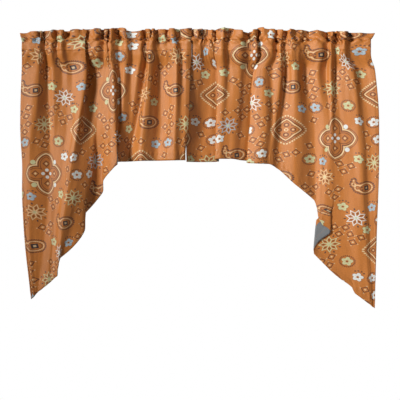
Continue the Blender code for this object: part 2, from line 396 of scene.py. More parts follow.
    def heading_path(self):
        """Each row as its side, its angle round the rod and its share of the header."""
        quarter = math.pi / 2
        wall = [-quarter + math.pi * row / self.POCKET_ROWS for row in range(self.POCKET_ROWS + 1)]
        front = [(1, angle, 0) for angle in wall]
        front += [(1, quarter, row / self.HEADER_ROWS) for row in range(1, self.HEADER_ROWS + 1)]
        back = [(-side, angle, share) for side, angle, share in reversed(front)]
        return front + [(0, quarter, 1)] + back

    def heading_row(self, side, angle, share):
        """One row of the front (side 1), the crown (0) or the back (-1)."""
        height = POCKET_HALF_HEIGHT * math.sin(angle) + (self.crown - POCKET_HALF_HEIGHT) * share
        height = height + self.rumple(CROWN, self.thread) * self.sizes.crown_unevenness * share
        opened = share**self.OPENING
        x = self.seam_x + self.ruffle_x * opened
        stitched_y = self.seam_y if angle < 0 else self.neck_y
        y = stitched_y * (1 - self.CROWN_DRAWN_IN * share) + self.ruffle_y * opened
        run_x, run_y = np.gradient(x), np.gradient(y)
        run = np.maximum(np.hypot(run_x, run_y), 0.01 * MM) * np.sign(self.seam_x[-1] - self.seam_x[0])
        pressed_x = x + run_y / run * LAYER_OFFSET * side
        pressed_y = y - run_x / run * LAYER_OFFSET * side
        back_y = ROD_CLEARANCE + self.BACK_FULLNESS * (1 - self.pleat)
        wall_y = self.wall_y if side > 0 else back_y
        loose = smooth_step(0, self.WALL_SQUARENESS, math.cos(angle)) * (share == 0)
        x = pressed_x + (x - pressed_x) * loose
        y = pressed_y + (wall_y - pressed_y) * loose
        if side == 0:
            height = height + LAYER_OFFSET
        return np.stack([x, y, height + np.zeros(len(x))], axis=-1)

    def normals(self):
        """Directions out of the printed face at each point of the grid."""
        along = np.gradient(self.points, axis=1)
        up = np.gradient(self.points, axis=0)
        out = np.cross(along, up) * np.sign(along[:, :, 0].mean())
        return out / np.maximum(np.linalg.norm(out, axis=-1, keepdims=True), 1e-9)

    def crease(self):
        """Lays fine gathers below the pocket and soft creases down the cloth."""
        swag = slice(0, self.stitch_row)
        height = self.rises[swag]
        thread = np.broadcast_to(self.thread, height.shape)
        drop = -POCKET_HALF_HEIGHT - height
        creases = self.rumple(CREASES, thread, height)
        creases += self.FINE_SHARE * self.rumple(FINE_CREASES, thread, height)
        gathers = self.rumple(GATHERS, thread, height) * np.exp(-drop / self.GATHER_REACH)
        slack = self.rumple(SLACK, thread, height) * smooth_step(0, self.SLACK_REACH, drop)
        depth = gathers * self.sizes.gather_depth + creases * self.sizes.crease_depth
        depth += slack * self.sizes.slack_depth
        pucker = np.sin(thread * 2 * math.pi / self.PUCKER_PITCH + 3 * creases)
        from_seam = (height - self.hem - self.sizes.hem_depth) / self.PUCKER_REACH
        depth += pucker * np.exp(-(from_seam**2)) * self.sizes.pucker_depth
        depth *= smooth_step(0, self.SEAM_GRIP, drop)
        self.points[swag] += self.normals()[swag] * depth[..., None]
        self.tuck()
        self.face_normals = self.normals()

    def tuck(self):
        """Small sharp tucks up and down from the pocket's two rows of stitches, on both layers."""
        last = len(self.rises) - 1
        # Lower and upper in front, then upper and lower behind: row, side and the tucks' strength
        seams = (
            (self.stitch_row, 1, 0.3),
            (self.stitch_row + self.POCKET_ROWS, 1, 1.7),
            (last - self.POCKET_ROWS, -1, 1.3),
            (last, -1, 0.3),
        )
        normals = self.normals()
        for seam, side, strength in seams:
            reach = np.abs(self.rises - self.rises[seam]).mean(axis=1)
            near = np.exp(-((reach / self.TUCK_REACH) ** 2))
            rows = np.flatnonzero(near > self.LEAST_NEAR)
            thread = np.broadcast_to(self.thread, (len(rows), len(self.thread)))
            rise = (self.rises[rows] - self.rises[seam]) * side
            tucks = self.TUCK_SHARE * self.rumple(TUCKS, thread, rise) + self.TUCK_RISE
            for lean, ridge in zip((self.RIDGE_LEAN, -self.RIDGE_LEAN), RIDGES):
                tucks = tucks - self.RIDGE_SHARE * np.abs(self.rumple(ridge, thread + lean * rise, rise))
            depth = tucks * strength * self.sizes.tuck_depth * near[rows][:, None]
            self.points[rows] += normals[rows] * depth[..., None] * side

    def hem_share(self):
        """1 where the cloth is doubled by a hem and 0 where it is single."""
        bottom = 1 - smooth_step(*self.HEM_STEP, (self.rises - self.hem) / self.sizes.hem_depth)
        bottom[self.stitch_row :] = 0
        side = np.minimum(self.thread, self.drape.width - self.thread) / self.sizes.side_hem_depth
        return np.maximum(bottom, 1 - smooth_step(*self.SIDE_HEM_STEP, side))

    def at(self, row, thread):
        """A point of the cloth and its normal, between the grid's rows and threads."""
        column = thread / self.drape.width * (len(self.thread) - 1)
        i = int(np.clip(column, 0, len(self.thread) - 2))
        j = int(np.clip(row, 0, len(self.points) - 2))
        a, b = column - i, row - j
        found = []
        for grid in (self.points, self.face_normals):
            low = grid[j, i] * (1 - a) + grid[j, i + 1] * a
            high = grid[j + 1, i] * (1 - a) + grid[j + 1, i + 1] * a
            found.append(Vector(low * (1 - b) + high * b))
        return found


def panel_mesh(name, cloth, cut_from):
    """A bmesh grid laid on the cloth's points, with its flat place as UV and its hems as a group."""
    rows, columns = cloth.points.shape[:2]
    shape = bmesh.new()
    bmesh.ops.create_grid(shape, x_segments=columns - 1, y_segments=rows - 1, size=0.5)
    flat = shape.loops.layers.uv.new("flat cloth")
    doubled = shape.verts.layers.deform.new()
    edge = shape.verts.layers.float.new("hem")
    hems = cloth.hem_share()
    rightwards = cloth.points[0, -1, 0] > cloth.points[0, 0, 0]
    across = cloth.drape.flat_across(cloth.place, cloth.rises)
    if not rightwards:
        across = cloth.drape.width - across
    cells = {}
    for vert in shape.verts:
        i = round((vert.co.x + 0.5) * (columns - 1))
        j = round((vert.co.y + 0.5) * (rows - 1))
        cells[vert] = (across[j, i] + cut_from[0], cloth.rises[j, i] + cut_from[1])
        vert.co = cloth.points[j, i]
        vert[doubled][0] = vert[edge] = float(hems[j, i])
    for face in shape.faces:
        for loop in face.loops:
            loop[flat].uv = cells[loop.vert]
    if not rightwards:
        bmesh.ops.reverse_faces(shape, faces=shape.faces)
    return finished_mesh(name, shape)


class Value:
    """One socket of a material's nodes. The usual signs carry on with its number."""

    def __init__(self, wiring, socket):
        self.wiring = wiring
        self.socket = socket

    def __add__(self, other):
        return self.wiring.math("ADD", self, other)

    def __sub__(self, other):
        return self.wiring.math("SUBTRACT", self, other)

    def __mul__(self, other):
        return self.wiring.math("MULTIPLY", self, other)

    def __truediv__(self, other):
        return self.wiring.math("DIVIDE", self, other)

    def __abs__(self):
        return self.wiring.math("ABSOLUTE", self)


class Wiring:
    """Short hands for building one material's nodes. What goes in is a number, a tuple or a Value."""

    # What noise mostly keeps within
    NOISE_RANGE = (0.3, 0.7)

    # Relief of the weave: its unevenness in a metre and its share, then how strong and how high it is
    YARN_NOISE = 420
    YARN_UNEVENNESS = 1.6
    WEAVE_STRENGTH = 0.25
    WEAVE_HEIGHT = 0.0004

    def __init__(self, name):
        self.material = bpy.data.materials.new(name)
        self.material.use_nodes = True
        self.tree = self.material.node_tree
        self.tree.nodes.clear()

    def node(self, kind, **settings):
        made = self.tree.nodes.new(kind)
        for setting, value in settings.items():
            setattr(made, setting, value)
        return made

    def plug(self, sockets, *values):
        """Links or sets the sockets, one for each value."""
        for socket, value in zip(sockets, values):
            if isinstance(value, Value):
                self.tree.links.new(value.socket, socket)
            else:
                socket.default_value = value

    def math(self, operation, *values, clamp=False):
        made = self.node("ShaderNodeMath", operation=operation, use_clamp=clamp)
        self.plug(made.inputs, *values)
        return Value(self, made.outputs[0])

    def vector(self, operation, *values):
        made = self.node("ShaderNodeVectorMath", operation=operation)
        self.plug(made.inputs, *values)
        return Value(self, made.outputs["Value" if operation == "LENGTH" else "Vector"])

    def scaled(self, colour, tone):
        made = self.node("ShaderNodeVectorMath", operation="SCALE")
        self.plug((made.inputs[0], made.inputs["Scale"]), colour, tone)
        return Value(self, made.outputs["Vector"])

    def parts(self, vector):
        """A vector's three numbers."""
        made = self.node("ShaderNodeSeparateXYZ")
        self.plug(made.inputs, vector)
        return [Value(self, socket) for socket in made.outputs]

    def mix(self, share, low, high, kind="RGBA"):
        made = self.node("ShaderNodeMix", data_type=kind)
        first, result = {"VECTOR": (4, 1), "RGBA": (6, 2)}[kind]
        self.plug((made.inputs[0], *made.inputs[first : first + 2]), share, low, high)
        return Value(self, made.outputs[result])

    def ramp(self, value, low, high, start, end):
        made = self.node("ShaderNodeMapRange")
        self.plug(made.inputs, value, low, high, start, end)
        return Value(self, made.outputs[0])

    def noise(self, place, scale, detail):
        made = self.node("ShaderNodeTexNoise")
        names = ("Vector", "Scale", "Detail")
        self.plug([made.inputs[name] for name in names], place, scale, detail)
        return Value(self, made.outputs["Fac"])

    def tone(self, place, scale, detail, darkest, lightest, drawn_out=None):
        """A tone that wanders between two strengths, drawn out along the warp if a share is given."""
        if drawn_out:
            place = self.vector("MULTIPLY", place, (1, drawn_out, 0))
        return self.ramp(self.noise(place, scale, detail), *self.NOISE_RANGE, darkest, lightest)

    def flat_place(self):
        """Where a point lies on the flat cloth, in metres."""
        return Value(self, self.node("ShaderNodeUVMap", uv_map="flat cloth").outputs[0])

    def own_place(self):
        """Where a point lies in its own object."""
        return Value(self, self.node("ShaderNodeTexCoord").outputs["Object"])

    def weave(self, place, sizes):
        """A plain weave in relief: threads up and across, each a little uneven."""
        turns = 2 * math.pi / sizes.yarn_pitch
        across, up, _ = self.parts(place)
        crossing = self.math("SINE", across * turns) * self.math("SINE", up * turns)
        uneven = self.noise(place, self.YARN_NOISE, 2)
        bump = self.node("ShaderNodeBump")
        bump.inputs["Strength"].default_value = self.WEAVE_STRENGTH
        bump.inputs["Distance"].default_value = self.WEAVE_HEIGHT
        self.plug([bump.inputs["Height"]], uneven * self.YARN_UNEVENNESS + crossing)
        return Value(self, bump.outputs[0])

    def surface(self, colour, settings, normal=None):
        """Ends the material in one shader, with the settings as constants on its sockets."""
        shader = self.node("ShaderNodeBsdfPrincipled")
        for name, value in settings.items():
            shader.inputs[name].default_value = value
        self.plug([shader.inputs["Base Color"]], colour)
        if normal:
            self.plug([shader.inputs["Normal"]], normal)
        out = self.node("ShaderNodeOutputMaterial")
        self.tree.links.new(shader.outputs[0], out.inputs["Surface"])
        return self.material


class Print(Wiring):
    """A printed pattern in layers. Shapes are distances in print units, negative inside."""

    EDGE = 0.55

    def inside(self, distance):
        return self.math("MULTIPLY_ADD", distance, -1 / self.EDGE, 0.5, clamp=True)

    def paint(self, share, ink, strength=1):
        """Prints one layer in an ink, which is a name or a mix of inks."""
        if strength != 1:
            share = share * strength
        self.colour = self.mix(share, self.colour, self.inks[ink] if isinstance(ink, str) else ink)

    def fill(self, distance, ink, strength=1):
        self.paint(self.inside(distance), ink, strength)

    def stroke(self, distance, half_width, ink, strength=1):
        self.fill(abs(distance) - half_width, ink, strength)

    def strokes(self, edge, lines):
        """Lines along an outline: how far outside it each one runs, its half width, ink and strength."""
        for outside, half_width, ink, strength in lines:
            self.stroke(edge - outside, half_width, ink, strength)

    def dots(self, x, y, dots):
        """Dots of a motif: the place, radius, ink and strength of each one."""
        for at, radius, ink, strength in dots:
            self.fill(self.dot(x, y, at, radius), ink, strength)

    def dot(self, x, y, at, radius):
        return self.length(x - at[0], y - at[1]) - radius

    def length(self, x, y):
        return self.math("SQRT", self.math("MULTIPLY_ADD", y, y, x * x))

    def nearest(self, spots):
        """The way to the nearest of a motif's places, turned with it. z carries its tint."""
        best = None
        half = (TILE[0] / 2, TILE[1] / 2, 1)
        for spot in spots:
            away = self.vector("SUBTRACT", self.flat, (spot.across, spot.up, 0))
            away = self.vector("WRAP", away, half, tuple(-side for side in half))
            reach = self.vector("LENGTH", away)
            if spot.turn:
                turned = self.node("ShaderNodeVectorRotate", rotation_type="Z_AXIS")
                names = ("Vector", "Angle")
                self.plug([turned.inputs[name] for name in names], away, math.radians(spot.turn))
                away = Value(self, turned.outputs[0])
            if spot.tint:
                away = self.vector("ADD", away, (0, 0, spot.tint))
            if best is None:
                best, best_reach = away, reach
                continue
            closer = self.math("LESS_THAN", reach, best_reach)
            best = self.mix(closer, best, away, "VECTOR")
            best_reach = self.math("MINIMUM", best_reach, reach)
        return self.parts(best)

    def folded(self, x, y):
        """The same place in one eighth of a four-way motif: along its nearer arm and off it."""
        ax, ay = abs(x), abs(y)
        return self.math("MAXIMUM", ax, ay), self.math("MINIMUM", ax, ay)

    def spokes(self, x, y, count, start=0.0):
        """The same place in one sector of a motif with so many spokes: out along the spoke and off it."""
        sector = 2 * math.pi / count
        off = self.math("WRAP", self.math("ARCTAN2", y, x) - start, sector / 2, -sector / 2)
        reach = self.length(x, y)
        out = reach * self.math("COSINE", off)
        return out, reach * self.math("SINE", off), reach, off

    def beads(self, x, y, edge, count, pitch, radius):
        """Round beads along an outline, so many to its round."""
        turn = self.math("FRACT", self.math("ARCTAN2", y, x) * (count / (2 * math.pi)))
        return self.length((turn - 0.5) * pitch, edge) - radius

    def tinted(self, tint, names):
        """The ink that a motif's tint number names."""
        ink = self.inks[names[0]]
        for number, name in enumerate(names[1:]):
            ink = self.mix(self.math("GREATER_THAN", tint, number + 0.5), ink, self.inks[name])
        return ink


# The print is drawn in units of 1.1 mm. Its repeat and its small motifs are wider than tall.
PRINT_UNIT = 1.1 * MM
TILE = (600, 470)
STRETCH = 1.3

# The places of the two medallions are listed. Every other motif has a count for each repeat and the
# radius that it keeps clear, and takes the roomiest place that is left.
Spot = namedtuple("Spot", "across up turn tint")
QUATREFOILS = (Spot(116, 94, 0, 0), Spot(396, 344, 0, 0))
LOZENGES = (Spot(264, 226, 0, 0), Spot(550, 120, 0, 0))
SCATTERED = (
    ("paisleys", 5, 40),
    ("stars", 7, 25),
    ("ringed flowers", 11, 17),
    ("trios", 20, 18),
    ("plain flowers", 14, 13),
    ("lone diamonds", 18, 9),
)
QUATREFOIL_REACH = 58
LOZENGE_REACH = 52
LARGEST_TURN = 25
TINTS = 4
TRIES = 400
LAYOUT_SEED = 11


def apart(one, other):
    """How far apart two places are in the repeating print, judged less strictly across than up."""
    across = abs(one[0] - other[0])
    up = abs(one[1] - other[1])
    across, up = min(across, TILE[0] - across), min(up, TILE[1] - up)
    return math.hypot(across / STRETCH, up)


def scatter():
    """The places of the smaller motifs in one repeat, largest motifs first."""
    draw = random.Random(LAYOUT_SEED)
    taken = [((spot.across, spot.up), QUATREFOIL_REACH) for spot in QUATREFOILS]
    taken += [((spot.across, spot.up), LOZENGE_REACH) for spot in LOZENGES]
    layout = {}
    for kind, count, reach in SCATTERED:
        layout[kind] = []
        for number in range(count):
            tries = [(draw.uniform(0, TILE[0]), draw.uniform(0, TILE[1])) for _ in range(TRIES)]
            place = max(tries, key=lambda spot: min(apart(spot, at) - far for at, far in taken))
            taken.append((place, reach))
            turn = draw.uniform(-LARGEST_TURN, LARGEST_TURN)
            layout[kind].append(Spot(*place, turn, number % TINTS))
    return layout


class BandanaPrint(Print):
    """The cloth's printed face: traditional bandana motifs scattered on a rust ground.

    Every size in a motif is in print units, measured from the motif's middle.
    """

    LOBE_MIDDLE = (26, -10)
    LOBE_RADIUS = 36
    QUATREFOIL_LINES = (
        (7.2, 1.1, "brown", 0.8),
        (2.6, 1, "brown", 0.9),
        (0, 1.9, "cream", 1),
        (-4.2, 1.4, "brown", 1),
        (-9.5, 1.1, "brown", 0.85),
    )
    QUATREFOIL_DOTS = (((30, 0), 3, "cream", 1), ((10.5, 0), 4.8, "white", 1))
    BUD_PLACE = (34.5, 34.5)
    BUD_RADIUS = 6.8

    LOZENGE_STRETCH = 1.4
    LOZENGE_TIP = 46
    LOZENGE_NOTCH = 37
    LOZENGE_LINES = ((-9.8, 1.1, "brown", 1), (-13, 1.3, "cream", 1), (-16, 0.8, "brown", 0.6))
    LOZENGE_DOTS = (((15, 0), 2.2, "cream", 0.8), ((12, 12), 1.6, "brown", 0.8))

    PAISLEY_TAIL = (((-21, 5), 12), ((-31, 17), 9), ((-29, 28), 5.5))
    PAISLEY_DOTS = (((-9, 4), 2.2, "dark", 0.8), ((-9, -4), 2.2, "dark", 0.8))

    STAR_PETALS = 8
    FLOWER_PETALS = 5
    RINGED_FLOWER = 12.5
    PLAIN_FLOWER = 12
    LEAF_PLACES = ((9.5, 15), (3.6, 18))
    LEAF_RADIUS = 2.1
    DIAMOND_DOTS = (((0, 0), 2.4, "cream", 0.9), ((11.2, 0), 1.5, "cream", 0.75))
    TRIO_PLACES = ((-12, 7), (13, 10), (2, -12))

    # Share of the colour left where a hem doubles the cloth: partly wear, partly painted shade for the light
    # that comes through one layer but not through two
    HEM_WEAR_AND_SHADE = 0.94
    CLOTH_FINISH = {
        "Roughness": 0.48,
        "Specular IOR Level": 0.45,
        "Sheen Weight": 0.08,
        "Sheen Roughness": 0.45,
    }

    def __init__(self, name, colours):
        super().__init__(name)
        self.inks = {ink: linear(getattr(colours, ink)) for ink in INKS}
        self.place = self.flat_place()
        self.flat = self.vector("MULTIPLY", self.place, (1 / PRINT_UNIT, 1 / PRINT_UNIT, 0))
        self.colour = self.inks["ground"]
        layout = scatter()
        self.trios(layout["trios"])
        self.lone_diamonds(layout["lone diamonds"])
        self.plain_flowers(layout["plain flowers"])
        self.ringed_flowers(layout["ringed flowers"])
        self.stars(layout["stars"])
        self.paisleys(layout["paisleys"])
        self.lozenges()
        self.quatrefoils()

    def quatrefoils(self):
        """Four ogee lobes, each with a diamond, round four petals, and a bud in each corner."""
        x, y, _ = self.nearest(QUATREFOILS)
        out, off = self.folded(x, y)
        edge = self.dot(out, off, self.LOBE_MIDDLE, self.LOBE_RADIUS)
        self.fill(edge, "brown", 0.1)
        self.strokes(edge, self.QUATREFOIL_LINES)
        self.stroke(abs(out - 30) + abs(off) - 8.5, 1.6, "brown")
        self.dots(out, off, self.QUATREFOIL_DOTS)
        bud = self.dot(out, off, self.BUD_PLACE, self.BUD_RADIUS)
        one_side = self.math("GREATER_THAN", x, 0)
        self.fill(bud, self.mix(one_side, self.inks["green"], self.inks["white"]))

    def lozenges(self):
        """A broad scalloped diamond with a beaded border and rings inside."""
        x, y, _ = self.nearest(LOZENGES)
        x = x / self.LOZENGE_STRETCH
        out, off = self.folded(x, y)
        reach = self.length(x, y)
        notched = (out / reach) * (off / reach) * 2
        rim = notched * (self.LOZENGE_NOTCH - self.LOZENGE_TIP) + self.LOZENGE_TIP
        edge = (reach - rim) * 0.9
        self.fill(edge, "brown", 0.08)
        self.stroke(edge + 3.5, 4, "brown", 0.12)
        self.fill(self.beads(x, y, edge + 2, 40, 6.6, 2.3), "cream")
        self.fill(self.beads(x, y, edge + 6, 40, 5.4, 1.4), "dark", 0.6)
        self.strokes(edge, self.LOZENGE_LINES)
        self.stroke(self.dot(out, off, (15, 0), 5.2), 1.2, "brown")
        self.dots(out, off, self.LOZENGE_DOTS)
        self.stroke(self.dot(out, off, (0, 0), 3.8), 1.1, "cream")

    def paisleys(self, spots):
        """A fat teardrop with a curled tail, a beaded line inside and dashes outside."""
        x, y, _ = self.nearest(spots)
        edge = (self.length((x - 6) / 31, y / 18) - 1) * 21
        for at, radius in self.PAISLEY_TAIL:
            edge = self.math("SMOOTH_MIN", edge, self.dot(x, y, at, radius), 7)
        self.fill(edge, "brown", 0.14)
        self.fill(self.beads(x - 2, y, edge - 2, 38, 4, 1.5), "dark", 0.85)
        self.stroke(edge, 0.8, "brown")
        self.stroke(edge + 4.5, 0.8, "cream", 0.7)
        self.fill(self.beads(x - 2, y, edge + 4.5, 32, 4.4, 1.5), "cream")
        self.stroke(edge + 8, 0.8, "brown", 0.7)
        square, _ = self.folded(x / 1.2 - 7, y)
        self.fill(square - 7, "dark", 0.95)
        self.fill(square - 3, "cream", 0.75)
        self.dots(x, y, self.PAISLEY_DOTS)

    def small(self, spots, names=("cream",)):
        """The way to the nearest small motif, which is wider than tall, and its ink."""
        x, y, tint = self.nearest(spots)
        return x / STRETCH, y, self.tinted(tint, names)

    def stars(self, spots):
        """Eight outlined petals round a green eye, with dark seeds between their tips."""
        x, y, ink = self.small(spots, ("white", "green", "cream", "blue"))
        out, off, reach, _ = self.spokes(x, y, self.STAR_PETALS)
        petal = (abs(out - 13) / 10.5 + abs(off) / 5.4 - 1) * 4.6
        self.stroke(petal, 0.9, ink)
        self.fill(petal + 2.4, "brown", 0.7)
        self.fill(reach - 3.2, "green", 0.8)
        out, off, _, _ = self.spokes(x, y, self.STAR_PETALS, math.pi / self.STAR_PETALS)
        seed = (self.length((out - 25.5) / 3.2, off / 1.7) - 1) * 1.6
        self.fill(seed, "dark", 0.85)

    def flower(self, x, y, ink, size):
        """Five round petals with veins and a rust eye."""
        _, off, reach, turn = self.spokes(x, y, self.FLOWER_PETALS, math.pi / 2)
        scallop = self.math("COSINE", turn * 2.3) * 0.42 + 0.62
        petals = reach - scallop * size
        self.stroke(petals, 1.2, "brown", 0.55)
        self.fill(petals, ink)
        vein = self.inside(abs(off) - 0.4) * self.inside(reach - size * 0.6)
        self.paint(vein, "brown", 0.4)
        self.fill(reach - size * 0.27, "ground")
        self.fill(reach - size * 0.14, "dark", 0.75)
        return reach

    def ringed_flowers(self, spots):
        x, y, ink = self.small(spots, ("white", "green", "blue", "white"))
        reach = self.flower(x, y, ink, self.RINGED_FLOWER)
        self.stroke(reach - 15.4, 0.6, "brown", 0.9)
        self.fill(self.beads(x, y, reach - 17.2, 24, 4.5, 1.3), "brown")

    def plain_flowers(self, spots):
        x, y, ink = self.small(spots, ("green", "white", "blue", "green"))
        self.flower(x, y, ink, self.PLAIN_FLOWER)
        leaves = [self.dot(abs(x), y, at, self.LEAF_RADIUS) for at in self.LEAF_PLACES]
        self.paint(self.math("MAXIMUM", *[self.inside(leaf) for leaf in leaves]), "dark", 0.75)

    def small_diamond(self, x, y):
        """A small outlined diamond with cream dots at its middle and tips."""
        out, off = self.folded(x, y)
        self.stroke(out + off - 8.6, 1.5, "brown")
        self.dots(out, off, self.DIAMOND_DOTS)

    def trios(self, spots):
        x, y, _ = self.small(spots)
        for across, up in self.TRIO_PLACES:
            self.small_diamond(x - across, y - up)

    def lone_diamonds(self, spots):
        x, y, _ = self.small(spots)
        self.small_diamond(x, y)

    def finish(self, sizes):
        """Weave, darker hems that are partly wear and partly painted shade, and the shader."""
        mottle = self.tone(self.place, 38, 3, 0.93, 1.05, drawn_out=0.35)
        slub = self.tone(self.place, 900, 1, 0.94, 1.05, drawn_out=0.06)
        fleck = self.tone(self.place, 260, 1, 0.93, 1.07)
        # Painted shade with some wear: the colour is darkened where a hem doubles the cloth, as if less
        # light shone through it
        hem = self.node("ShaderNodeAttribute", attribute_name="hem", attribute_type="GEOMETRY")
        hem_wear_and_shade = self.ramp(Value(self, hem.outputs["Fac"]), 0, 1, 1, self.HEM_WEAR_AND_SHADE)
        colour = self.scaled(self.colour, mottle * slub * fleck * hem_wear_and_shade)
        return self.surface(colour, self.CLOTH_FINISH, self.weave(self.place, sizes))


def linear(colour):
    """A colour property as a shader's four values."""
    return (*colour, 1.0)


def reverse_material(colours, sizes):
    """The unprinted back of the cloth: slate grey with the weave's faint flecks."""
    wiring = Wiring("cloth reverse")
    place = wiring.flat_place()
    fleck = wiring.tone(place, 700, 2, 0.93, 1.07, drawn_out=0.2)
    shade = wiring.tone(place, 30, 3, 0.95, 1.04)
    colour = wiring.scaled(tuple(colours.reverse), fleck * shade)
    settings = {"Roughness": 0.9, "Specular IOR Level": 0.2, "Sheen Weight": 0.1}
    return wiring.surface(colour, settings, wiring.weave(place, sizes))


def thread_material(colours):
    """Sewing thread with its twist."""
    wiring = Wiring("sewing thread")
    twist = wiring.tone(wiring.own_place(), 1500, 1, 0.85, 1.15)
    return wiring.surface(wiring.scaled(tuple(colours.thread), twist), {"Roughness": 0.6})


def floor_material(colours):
    """The studio floor, hardly mottled."""
    wiring = Wiring("studio floor")
    mottle = wiring.tone(wiring.own_place(), 6, 2, 0.98, 1.01)
    return wiring.surface(wiring.scaled(tuple(colours.floor), mottle), {"Roughness": 0.7})


def new_object(name, mesh):
    made = bpy.data.objects.new(name, mesh)
    bpy.context.collection.objects.link(made)
    return made


# How each panel is draped: its fold lines, how far its header flares at the outer side, the seed
# of its unevenness, and where it is cut from the print
Drapery = namedtuple("Drapery", "side folds levels flare seed cut_from")
PANELS = (
    Drapery("left", LEFT_FOLDS, LEFT_LEVELS, 0.007, 3.0, (0.030, 0.012)),
    Drapery("right", RIGHT_FOLDS, RIGHT_LEVELS, 0.014, 17.0, (0.180, -0.105)),
)
CLOTHS = {}

# Share of the flat rectangle that is left when the corner below the inner drop is cut away
FLAT_SHARE = 0.7

INKS = ("ground", "brown", "dark", "cream", "white", "green", "blue")


def length_property(name, description, default):
    return bpy.props.FloatProperty(name=name, description=description, default=default, unit="LENGTH")


def colour_property(name, description, colour):
    return bpy.props.FloatVectorProperty(
        name=name, description=description, default=colour, subtype="COLOR", size=3, min=0, max=1
    )


class SwagSizes(bpy.types.PropertyGroup):
    """Sizes of the cloth and its sewing."""

    panel_width: length_property("Panel width", "Width of each panel's cloth, laid flat", 0.762)
    panel_length: length_property(
        "Panel length",
        "Length of each panel's cloth at its outer side, with the turned heading, laid flat",
        0.99,
    )
    thread_spacing: length_property("Grid spacing", "Width of one mesh face across the cloth", 0.0026)
    cloth_thickness: length_property("Cloth thickness", "Thickness of the single cloth", 0.0009)
    hem_thickness: length_property("Hem thickness", "Thickness where a hem doubles the cloth", 0.0017)
    hem_depth: length_property("Hem depth", "Depth of the bottom hem", 0.025)
    side_hem_depth: length_property("Side hem depth", "Depth of the side hems", 0.014)
    gather_depth: length_property("Gather depth", "Depth of the fine gathers below the pocket", 0.0034)
    crease_depth: length_property("Crease depth", "Depth of the soft creases down the cloth", 0.0026)
    slack_depth: length_property("Slack depth", "Depth of the hanging cloth's broad unevenness", 0.004)
    pucker_depth: length_property("Pucker depth", "Depth of the ripples along the hem's seam", 0.0007)
    ruffle_depth: length_property("Ruffle depth", "How far the header's ruffle stands in and out", 0.010)
    tuck_depth: length_property("Tuck depth", "Depth of the tucks at the pocket's stitching", 0.008)
    ruffle_length: length_property("Ruffle length", "Cloth in one fold of the header's ruffle", 0.048)
    crown_unevenness: length_property("Crown unevenness", "How uneven the header's top edge is", 0.004)
    yarn_pitch: length_property("Yarn pitch", "Distance between neighbouring yarns, doubled", 0.0012)
    stitch_length: length_property("Stitch length", "Length of one stitch", 0.0032)
    stitch_gap: length_property("Stitch gap", "Gap between stitches", 0.0011)
    thread_width: length_property("Thread width", "Width of the sewing thread", 0.0005)


class SwagColours(bpy.types.PropertyGroup):
    """Inks of the print, and the colours of the reverse, the thread and the floor."""

    ground: colour_property("Ground", "Rust ground of the print", (0.51, 0.178, 0.033))
    brown: colour_property("Brown", "Brown outlines", (0.130, 0.040, 0.016))
    dark: colour_property("Dark", "Near-black accents", (0.030, 0.022, 0.032))
    cream: colour_property("Cream", "Cream lines and dots", (0.74, 0.54, 0.30))
    white: colour_property("White", "White flowers", (0.70, 0.74, 0.74))
    green: colour_property("Green", "Pale green flowers", (0.56, 0.56, 0.32))
    blue: colour_property("Blue", "Pale blue flowers", (0.37, 0.47, 0.54))
    reverse: colour_property("Reverse", "Slate grey of the unprinted side", (0.175, 0.190, 0.205))
    thread: colour_property("Thread", "Sewing thread", (0.46, 0.162, 0.033))
    floor: colour_property("Floor", "Pale studio floor", (0.82, 0.82, 0.81))


class SWAG_OT_hang_panels(bpy.types.Operator):
    """Hang the two printed panels from the rod's place, each with its heading, folds and hems"""

    bl_idname = "swag.hang_panels"
    bl_label = "Hang the panels"

    def execute(self, context):
        sizes = context.scene.swag_sizes
        colours = context.scene.swag_colours
        face = BandanaPrint("printed cloth", colours).finish(sizes)
        reverse = reverse_material(colours, sizes)
        for drapery in PANELS:
            side = drapery.side
            CLOTHS[side] = Cloth(drapery, sizes)
            mesh = panel_mesh(side + "_panel", CLOTHS[side], drapery.cut_from)
            mesh.materials.append(face)
            mesh.materials.append(reverse)
            panel = new_object(side + "_panel", mesh)
            self.thicken(panel, sizes)
            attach(panel, BODY)
            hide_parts(side + "_heading", side + "_swag")
        return {"FINISHED"}

    def thicken(self, panel, sizes):
        """Gives the cloth its thickness, doubled in the hems, and its plain reverse."""
        panel.vertex_groups.new(name="hems")
        wall = panel.modifiers.new("cloth thickness", "SOLIDIFY")
        wall.thickness = sizes.hem_thickness
        wall.offset = 0
        wall.vertex_group = "hems"
        wall.thickness_vertex_group = sizes.cloth_thickness / sizes.hem_thickness
        wall.material_offset = 1


